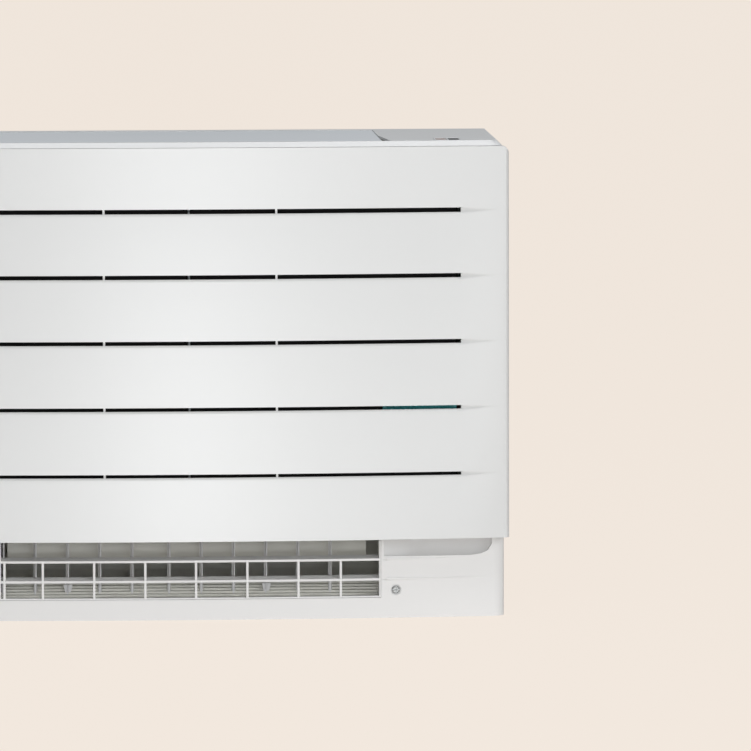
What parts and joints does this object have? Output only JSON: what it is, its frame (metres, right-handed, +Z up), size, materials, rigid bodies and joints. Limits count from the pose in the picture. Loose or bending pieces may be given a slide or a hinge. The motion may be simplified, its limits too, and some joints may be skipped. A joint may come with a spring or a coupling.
{
  "type": "floor standing air conditioner",
  "caption": "Low console air conditioner: bowed front panel with long intake slits, top flap outlet and bottom grille outlet with swinging louvres, fan and heat exchanger inside.",
  "frame": {"origin": "middle of the bottom, on the floor", "axes": "+X right seen from the front, +Y towards the wall, +Z up"},
  "size_m": [0.75, 0.238, 0.5624],
  "materials": {
    "casing_white": "moulded ABS, fine satin",
    "panel_white": "moulded ABS, satin",
    "flap_grey": "moulded, pale grey",
    "louvre_white": "moulded",
    "duct_grey": "moulded, grey",
    "duct_foam": "expanded foam",
    "black_plastic": "moulded, black",
    "filter_dark": "moulded net",
    "purifier_teal": "moulded, teal",
    "button_beige": "moulded",
    "aluminium": "thin fins",
    "zinc_steel": "zinc plated sheet",
    "copper": "drawn copper tube",
    "brass": "turned brass",
    "board_green": "circuit board"
  },
  "bodies": {
    "cabinet": {"front_casing": "casing_white", "rear_case": "duct_grey", "outlet_grille": "casing_white", "lower_duct": "duct_grey", "upper_duct": "duct_foam", "fan_motor": "zinc_steel", "motor_mount": "black_plastic", "bell_mouth": "duct_foam", "heat_exchanger": "aluminium", "drain_pan": "duct_foam", "drain_spout": "black_plastic", "gas_pipe": "copper", "liquid_pipe": "copper", "gas_flare_nut": "brass", "liquid_flare_nut": "brass", "coil_end_left": "zinc_steel", "coil_end_right": "zinc_steel", "air_filter_left": "filter_dark", "air_filter_right": "filter_dark", "purifier_left": "purifier_teal", "purifier_right": "purifier_teal", "casing_screw_left": "zinc_steel", "casing_screw_right": "zinc_steel", "electrical_box": "zinc_steel", "electrical_lid": "zinc_steel", "control_board": "board_green", "terminal_block": "louvre_white", "display_bezel": "louvre_white", "receiver_window": "black_plastic", "display_board": "board_green", "flap_motor": "zinc_steel", "shutter_motor": "zinc_steel"},
    "panel": {"front_panel": "panel_white"},
    "shutter": {"lower_shutter": "duct_grey"},
    "flap": {"upper_flap": "flap_grey"},
    "louvre_link_left": {"louvre_link_left": "louvre_white"},
    "louvre_link_right": {"louvre_link_right": "louvre_white"},
    "upper_blade_link": {"upper_blade_link": "louvre_white"},
    "fan": {"turbo_fan": "black_plastic", "motor_shaft": "zinc_steel", "fan_nut": "brass"},
    "button": {"push_button": "button_beige"},
    "louvre_left_1": {"louvre_left_1": "louvre_white"},
    "louvre_left_2": {"louvre_left_2": "louvre_white"},
    "louvre_left_3": {"louvre_left_3": "louvre_white"},
    "louvre_left_4": {"louvre_left_4": "louvre_white"},
    "louvre_left_5": {"louvre_left_5": "louvre_white"},
    "louvre_right_1": {"louvre_right_1": "louvre_white"},
    "louvre_right_2": {"louvre_right_2": "louvre_white"},
    "louvre_right_3": {"louvre_right_3": "louvre_white"},
    "louvre_right_4": {"louvre_right_4": "louvre_white"},
    "louvre_right_5": {"louvre_right_5": "louvre_white"},
    "louvre_right_6": {"louvre_right_6": "louvre_white"},
    "upper_blade_1": {"upper_blade_1": "louvre_white"},
    "upper_blade_2": {"upper_blade_2": "louvre_white"},
    "upper_blade_3": {"upper_blade_3": "louvre_white"},
    "upper_blade_4": {"upper_blade_4": "louvre_white"},
    "upper_blade_5": {"upper_blade_5": "louvre_white"},
    "upper_blade_6": {"upper_blade_6": "louvre_white"}
  },
  "joints": [
    {"name": "panel_tilt", "type": "hinge", "parent": "cabinet", "child": "panel", "pos_m": [0, -0.09, 0.104], "axis": [1, 0, 0], "range_deg": [0, 30]},
    {"name": "flap_open", "type": "hinge", "parent": "cabinet", "child": "flap", "pos_m": [0, 0.094, 0.553], "axis": [-1, 0, 0], "range_deg": [0, 75]},
    {"name": "shutter_open", "type": "hinge", "parent": "cabinet", "child": "shutter", "pos_m": [0, 0.008, 0.09], "axis": [1, 0, 0], "range_deg": [0, 80]},
    {"name": "fan_spin", "type": "hinge", "parent": "cabinet", "child": "fan", "pos_m": [0, 0.035, 0.292], "axis": [0, 1, 0], "continuous": true},
    {"name": "button_push", "type": "slide", "parent": "cabinet", "child": "button", "axis": [0, 0, -1], "range_m": [0, 0.0012], "stiffness_N_per_m": 400, "springref_m": -0.001},
    {"name": "louvre_left_1_turn", "type": "hinge", "parent": "cabinet", "child": "louvre_left_1", "pos_m": [-0.2185, -0.038, 0.07], "axis": [0, 0, 1], "range_deg": [-40, 40]},
    {"name": "louvre_left_2_turn", "type": "hinge", "parent": "cabinet", "child": "louvre_left_2", "pos_m": [-0.1805, -0.038, 0.07], "axis": [0, 0, 1], "range_deg": [-40, 40]},
    {"name": "louvre_left_3_turn", "type": "hinge", "parent": "cabinet", "child": "louvre_left_3", "pos_m": [-0.1425, -0.038, 0.07], "axis": [0, 0, 1], "range_deg": [-40, 40]},
    {"name": "louvre_left_4_turn", "type": "hinge", "parent": "cabinet", "child": "louvre_left_4", "pos_m": [-0.1045, -0.038, 0.07], "axis": [0, 0, 1], "range_deg": [-40, 40]},
    {"name": "louvre_left_5_turn", "type": "hinge", "parent": "cabinet", "child": "louvre_left_5", "pos_m": [-0.0665, -0.038, 0.07], "axis": [0, 0, 1], "range_deg": [-40, 40]},
    {"name": "louvre_link_left_turn", "type": "hinge", "parent": "louvre_left_1", "child": "louvre_link_left", "pos_m": [-0.2185, -0.024, 0.0383], "axis": [0, 0, 1], "range_deg": [-40, 40]},
    {"name": "louvre_right_1_turn", "type": "hinge", "parent": "cabinet", "child": "louvre_right_1", "pos_m": [-0.023, -0.038, 0.07], "axis": [0, 0, 1], "range_deg": [-40, 40]},
    {"name": "louvre_right_2_turn", "type": "hinge", "parent": "cabinet", "child": "louvre_right_2", "pos_m": [0.015, -0.038, 0.07], "axis": [0, 0, 1], "range_deg": [-40, 40]},
    {"name": "louvre_right_3_turn", "type": "hinge", "parent": "cabinet", "child": "louvre_right_3", "pos_m": [0.053, -0.038, 0.07], "axis": [0, 0, 1], "range_deg": [-40, 40]},
    {"name": "louvre_right_4_turn", "type": "hinge", "parent": "cabinet", "child": "louvre_right_4", "pos_m": [0.091, -0.038, 0.07], "axis": [0, 0, 1], "range_deg": [-40, 40]},
    {"name": "louvre_right_5_turn", "type": "hinge", "parent": "cabinet", "child": "louvre_right_5", "pos_m": [0.129, -0.038, 0.07], "axis": [0, 0, 1], "range_deg": [-40, 40]},
    {"name": "louvre_right_6_turn", "type": "hinge", "parent": "cabinet", "child": "louvre_right_6", "pos_m": [0.167, -0.038, 0.07], "axis": [0, 0, 1], "range_deg": [-40, 40]},
    {"name": "louvre_link_right_turn", "type": "hinge", "parent": "louvre_right_1", "child": "louvre_link_right", "pos_m": [-0.023, -0.024, 0.0383], "axis": [0, 0, 1], "range_deg": [-40, 40]},
    {"name": "upper_blade_1_turn", "type": "hinge", "parent": "cabinet", "child": "upper_blade_1", "pos_m": [-0.18708, 0.04, 0.5], "axis": [0, 0, 1], "range_deg": [-30, 30]},
    {"name": "upper_blade_2_turn", "type": "hinge", "parent": "cabinet", "child": "upper_blade_2", "pos_m": [-0.11225, 0.04, 0.5], "axis": [0, 0, 1], "range_deg": [-30, 30]},
    {"name": "upper_blade_3_turn", "type": "hinge", "parent": "cabinet", "child": "upper_blade_3", "pos_m": [-0.03742, 0.04, 0.5], "axis": [0, 0, 1], "range_deg": [-30, 30]},
    {"name": "upper_blade_4_turn", "type": "hinge", "parent": "cabinet", "child": "upper_blade_4", "pos_m": [0.03742, 0.04, 0.5], "axis": [0, 0, 1], "range_deg": [-30, 30]},
    {"name": "upper_blade_5_turn", "type": "hinge", "parent": "cabinet", "child": "upper_blade_5", "pos_m": [0.11225, 0.04, 0.5], "axis": [0, 0, 1], "range_deg": [-30, 30]},
    {"name": "upper_blade_6_turn", "type": "hinge", "parent": "cabinet", "child": "upper_blade_6", "pos_m": [0.18708, 0.04, 0.5], "axis": [0, 0, 1], "range_deg": [-30, 30]},
    {"name": "upper_blade_link_turn", "type": "hinge", "parent": "upper_blade_1", "child": "upper_blade_link", "pos_m": [-0.18708, 0.058, 0.4747], "axis": [0, 0, 1], "range_deg": [-30, 30]}
  ],
  "couplings": [
    {"joint": "louvre_left_2_turn", "follows": "louvre_left_1_turn", "ratio": 1},
    {"joint": "louvre_left_3_turn", "follows": "louvre_left_1_turn", "ratio": 1},
    {"joint": "louvre_left_4_turn", "follows": "louvre_left_1_turn", "ratio": 1},
    {"joint": "louvre_left_5_turn", "follows": "louvre_left_1_turn", "ratio": 1},
    {"joint": "louvre_link_left_turn", "follows": "louvre_left_1_turn", "ratio": -1},
    {"joint": "louvre_right_2_turn", "follows": "louvre_right_1_turn", "ratio": 1},
    {"joint": "louvre_right_3_turn", "follows": "louvre_right_1_turn", "ratio": 1},
    {"joint": "louvre_right_4_turn", "follows": "louvre_right_1_turn", "ratio": 1},
    {"joint": "louvre_right_5_turn", "follows": "louvre_right_1_turn", "ratio": 1},
    {"joint": "louvre_right_6_turn", "follows": "louvre_right_1_turn", "ratio": 1},
    {"joint": "louvre_link_right_turn", "follows": "louvre_right_1_turn", "ratio": -1},
    {"joint": "upper_blade_2_turn", "follows": "upper_blade_1_turn", "ratio": 1},
    {"joint": "upper_blade_3_turn", "follows": "upper_blade_1_turn", "ratio": 1},
    {"joint": "upper_blade_4_turn", "follows": "upper_blade_1_turn", "ratio": 1},
    {"joint": "upper_blade_5_turn", "follows": "upper_blade_1_turn", "ratio": 1},
    {"joint": "upper_blade_6_turn", "follows": "upper_blade_1_turn", "ratio": 1},
    {"joint": "upper_blade_link_turn", "follows": "upper_blade_1_turn", "ratio": -1}
  ]
}
